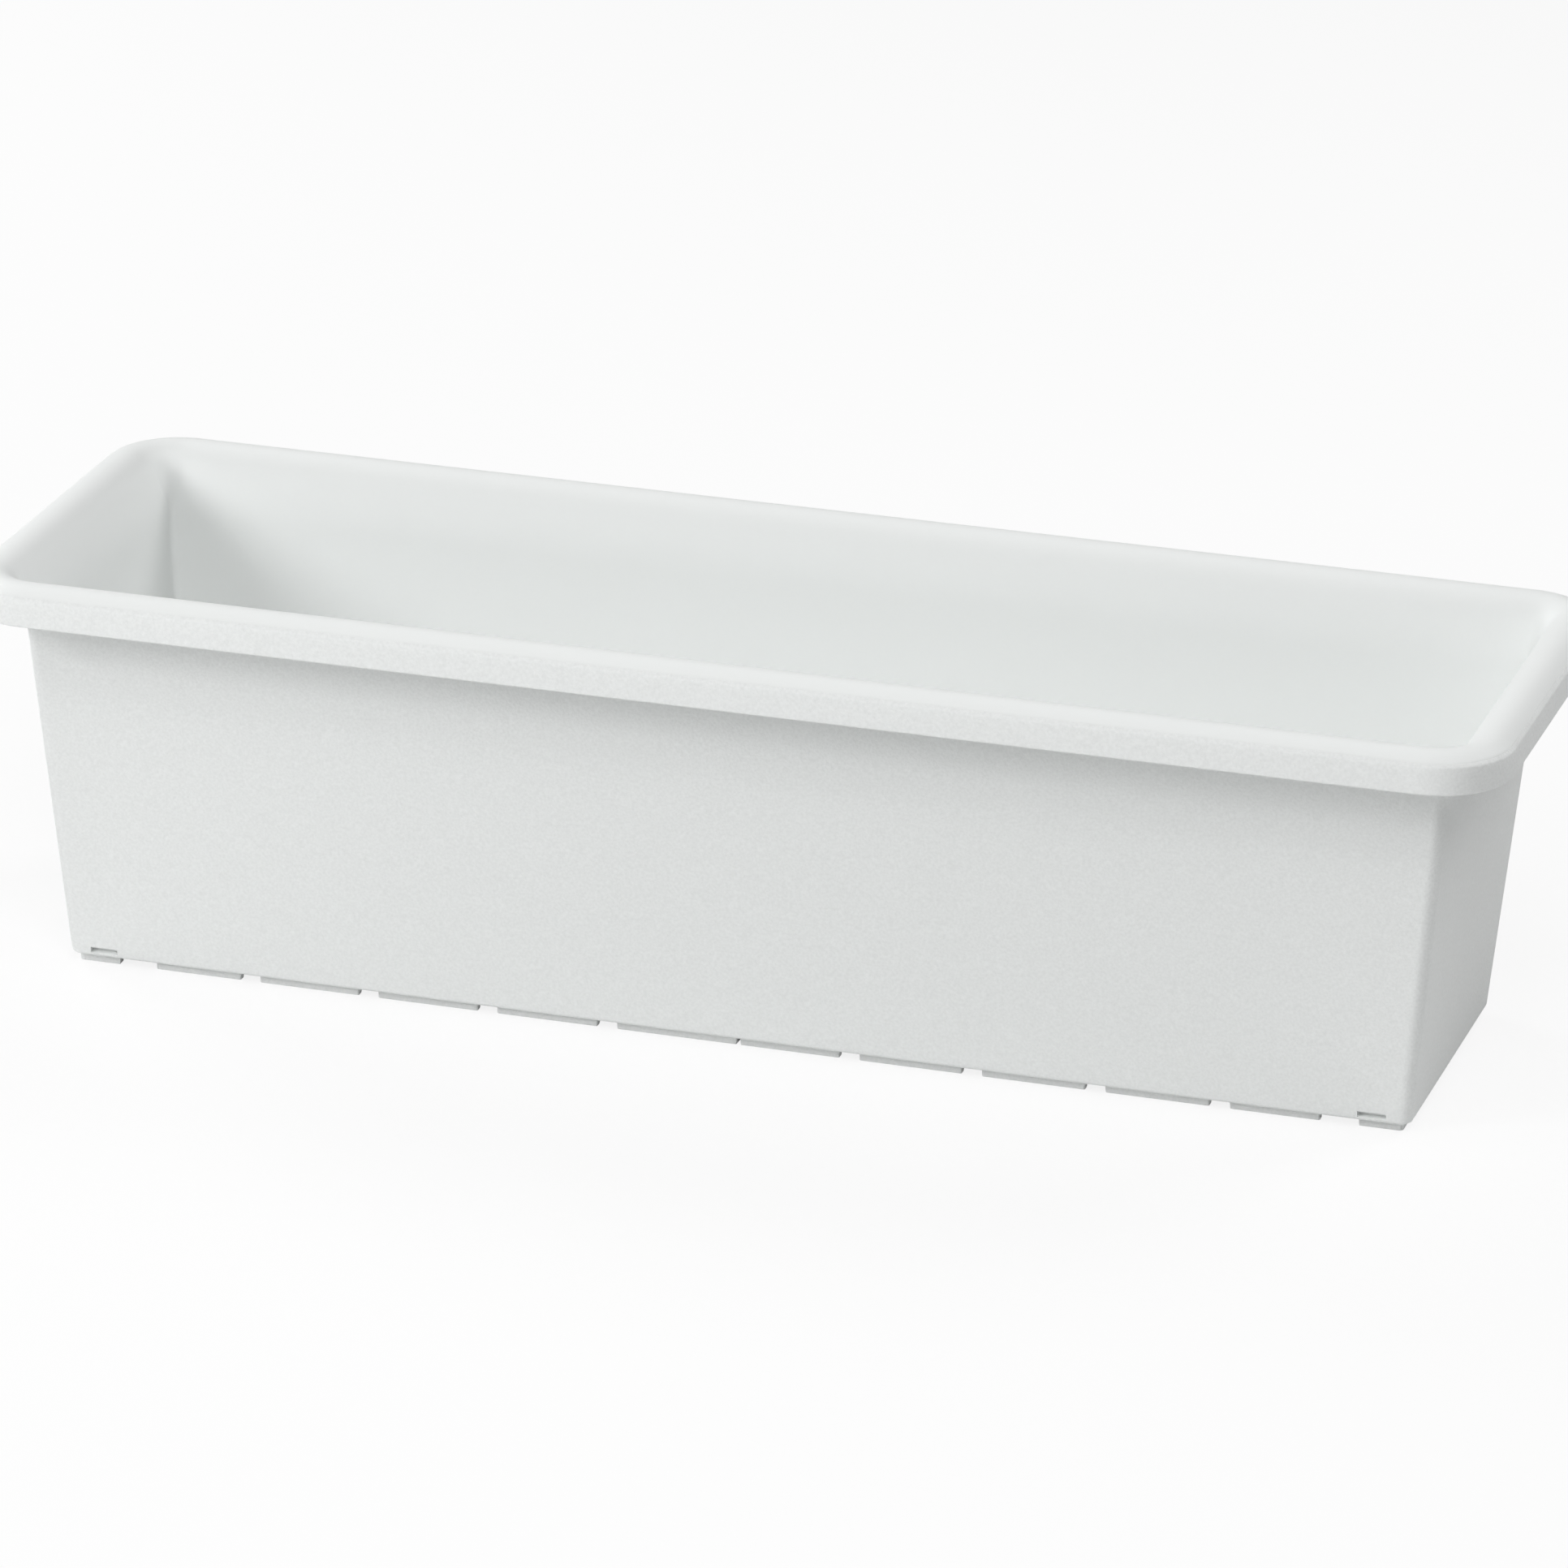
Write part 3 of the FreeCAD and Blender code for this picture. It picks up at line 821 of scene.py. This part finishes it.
def plainPolypropylene():
    # Polypropylene moulded against a plain milled tool: smoother and glossier than the
    # shell, with the slow unevenness of a thin plate
    values = gridPlasticValues
    material, tree = emptyMaterial("Polypropylene, plain moulding")
    place = addNode(tree, "ShaderNodeTexCoord", {})
    waves = addNode(tree, "ShaderNodeTexNoise", {"Scale": 1 / (values["waves"] * mm), "Detail": 1.0},
                    [("Vector", place.outputs["Object"])])
    bump = addNode(tree, "ShaderNodeBump", {"Strength": 1.0, "Distance": values["waveDepth"] * mm},
                   [("Height", waves.outputs["Fac"])])
    plastic = addNode(tree, "ShaderNodeBsdfPrincipled",
                      {"Base Color": linearColour(values["colour"]), "IOR": 1.49,
                       "Roughness": values["roughness"]},
                      [("Normal", bump.outputs["Normal"])])
    addNode(tree, "ShaderNodeOutputMaterial", {}, [("Surface", plastic.outputs["BSDF"])])
    return material


plugPlasticValues = {
    "colour": "dadbd9",
    "roughness": (0.3, 0.45),  # of the glossiest and the dullest patches
    "sheen": 0.15,
    "mottle": 5.0,  # mm
}


def softPolyethylene():
    # Soft polyethylene, moulded smooth: satin, a little waxy, its gloss in faint patches
    values = plugPlasticValues
    material, tree = emptyMaterial("Soft polyethylene, smooth moulding")
    place = addNode(tree, "ShaderNodeTexCoord", {})
    mottle = addNode(tree, "ShaderNodeTexNoise", {"Scale": 1 / (values["mottle"] * mm), "Detail": 2.0},
                     [("Vector", place.outputs["Object"])])
    gloss = addNode(tree, "ShaderNodeMapRange",
                    {"To Min": values["roughness"][0], "To Max": values["roughness"][1]},
                    [("Value", mottle.outputs["Fac"])])
    plastic = addNode(tree, "ShaderNodeBsdfPrincipled",
                      {"Base Color": linearColour(values["colour"]), "IOR": 1.51,
                       "Sheen Weight": values["sheen"]},
                      [("Roughness", gloss.outputs["Result"])])
    addNode(tree, "ShaderNodeOutputMaterial", {}, [("Surface", plastic.outputs["BSDF"])])
    return material


# Outside, the mould is etched like fine leather: light breaks up into a soft grain
leatherGrained = shellPolypropylene("Polypropylene, leather-grained moulding", shellValues["leather"])
# Inside and on top, the core is spark eroded: an even, soft sheen
sparkEroded = shellPolypropylene("Polypropylene, spark-eroded moulding", shellValues["eroded"])
plainMoulded = plainPolypropylene()
softMoulded = softPolyethylene()
for piece, body, node, slot, materials in (
    (planterBox, "box", "planter_box", "shell_plastic", [leatherGrained, sparkEroded]),
    (gridRight, "grid_right", "reservoir_grid_right", "grid_plastic", [plainMoulded]),
    (gridLeft, "grid_left", "reservoir_grid_left", "grid_plastic", [plainMoulded]),
    (plugRight, "plug_right", "drain_plug_right", "plug_plastic", [softMoulded]),
    (plugLeft, "plug_left", "drain_plug_left", "plug_plastic", [softMoulded]),
):
    finishShape(piece, materials)
    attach(piece, body)
    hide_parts(node)
print("The materials are on")


# Camera, floor and light

cameraValues = {
    "azimuth": 16.85,  # degrees, round the object from its front
    "elevation": 20.64,
    "roll": 0.856,
    "distance": 3505.0,  # mm
    "sideways": 3.108,  # mm
    "upwards": 77.67,  # mm
    "lens": 209.44,  # mm, on a 36 mm sensor
}


def placeCamera():
    values = cameraValues
    turn, rise, roll = [math.radians(values[name]) for name in ("azimuth", "elevation", "roll")]
    back = Vector((math.sin(turn) * math.cos(rise), -math.cos(turn) * math.cos(rise), math.sin(rise)))
    right = Vector((math.cos(turn), math.sin(turn), 0))
    up = back.cross(right)
    axes = (
        right * math.cos(roll) + up * math.sin(roll),
        up * math.cos(roll) - right * math.sin(roll),
        back,
    )
    place = axes[0] * values["sideways"] + axes[1] * values["upwards"] + back * values["distance"]
    data = bpy.data.cameras.new("camera")
    data.lens = values["lens"]
    data.sensor_width = 36
    data.clip_end = 50
    camera = bpy.data.objects.new("camera", data)
    camera.matrix_world = Matrix.Translation(place * mm) @ Matrix(axes).transposed().to_4x4()
    bpy.context.scene.collection.objects.link(camera)
    bpy.context.scene.camera = camera


lightValues = {
    "key": {"azimuth": -45.0, "elevation": 25.0, "power": 20.5, "size": 0.7},  # degrees, watts and metres
    "front fill": {"azimuth": 25.0, "elevation": 45.0, "power": 12.0, "size": 0.8},
    "upper fill": {"azimuth": 10.0, "elevation": 66.0, "power": 16.5, "size": 1.2},
    "left rear": {"azimuth": -120.0, "elevation": 25.0, "power": 23.0, "size": 1.0},
    "right rear": {"azimuth": 134.0, "elevation": 42.0, "power": 20.0, "size": 1.0},
}
lampDistance = 2.4
lampAim = Vector((0, 0, 0.08))
roomLight = 0.02  # what little comes from all round


def placeLights():
    for name, values in lightValues.items():
        turn, rise = math.radians(values["azimuth"]), math.radians(values["elevation"])
        back = Vector((math.sin(turn) * math.cos(rise), -math.cos(turn) * math.cos(rise), math.sin(rise)))
        data = bpy.data.lights.new(name, "AREA")
        data.size = values["size"]
        data.energy = values["power"]
        lamp = bpy.data.objects.new(name, data)
        lamp.location = lampAim + back * lampDistance
        lamp.rotation_euler = back.to_track_quat("Z", "Y").to_euler()
        bpy.context.scene.collection.objects.link(lamp)
    world = bpy.data.worlds.new("studio")
    world.use_nodes = True
    tree = world.node_tree
    tree.nodes.clear()
    path = addNode(tree, "ShaderNodeLightPath", {})
    pureWhite = linearColour("ffffff")
    soft = addNode(tree, "ShaderNodeBackground", {"Color": pureWhite, "Strength": roomLight})
    white = addNode(tree, "ShaderNodeBackground", {"Color": pureWhite, "Strength": 1.0})
    shown = addNode(tree, "ShaderNodeMixShader", {}, [("Fac", path.outputs["Is Camera Ray"])])
    tree.links.new(soft.outputs[0], shown.inputs[1])
    tree.links.new(white.outputs[0], shown.inputs[2])
    addNode(tree, "ShaderNodeOutputWorld", {}, [("Surface", shown.outputs[0])])
    bpy.context.scene.world = world


floorValues = {
    "half": 4.0,  # metres
    "colour": "f4f4f4",
    "glow": 0.85,  # share of plain white that the camera sees; the rest keeps the shadow
}


def placeFloor():
    values = floorValues
    mesh = bmesh.new()
    bmesh.ops.create_grid(mesh, x_segments=1, y_segments=1, size=values["half"])
    floor = asObject(mesh, "floor")
    material, tree = emptyMaterial("Paper sweep, matt white")
    path = addNode(tree, "ShaderNodeLightPath", {})
    paper = addNode(tree, "ShaderNodeBsdfDiffuse", {"Color": linearColour(values["colour"])})
    glow = addNode(tree, "ShaderNodeEmission", {"Strength": 1.0})
    share = addNode(tree, "ShaderNodeMath", {"operation": "MULTIPLY"}, [(0, path.outputs["Is Camera Ray"])])
    share.inputs[1].default_value = values["glow"]
    shown = addNode(tree, "ShaderNodeMixShader", {}, [("Fac", share.outputs[0])])
    tree.links.new(paper.outputs[0], shown.inputs[1])
    tree.links.new(glow.outputs[0], shown.inputs[2])
    addNode(tree, "ShaderNodeOutputMaterial", {}, [("Surface", shown.outputs[0])])
    floor.data.materials[0] = material


placeCamera()
placeLights()
placeFloor()
bpy.context.scene.view_settings.view_transform = "Standard"
print("The camera, lights and floor are set")
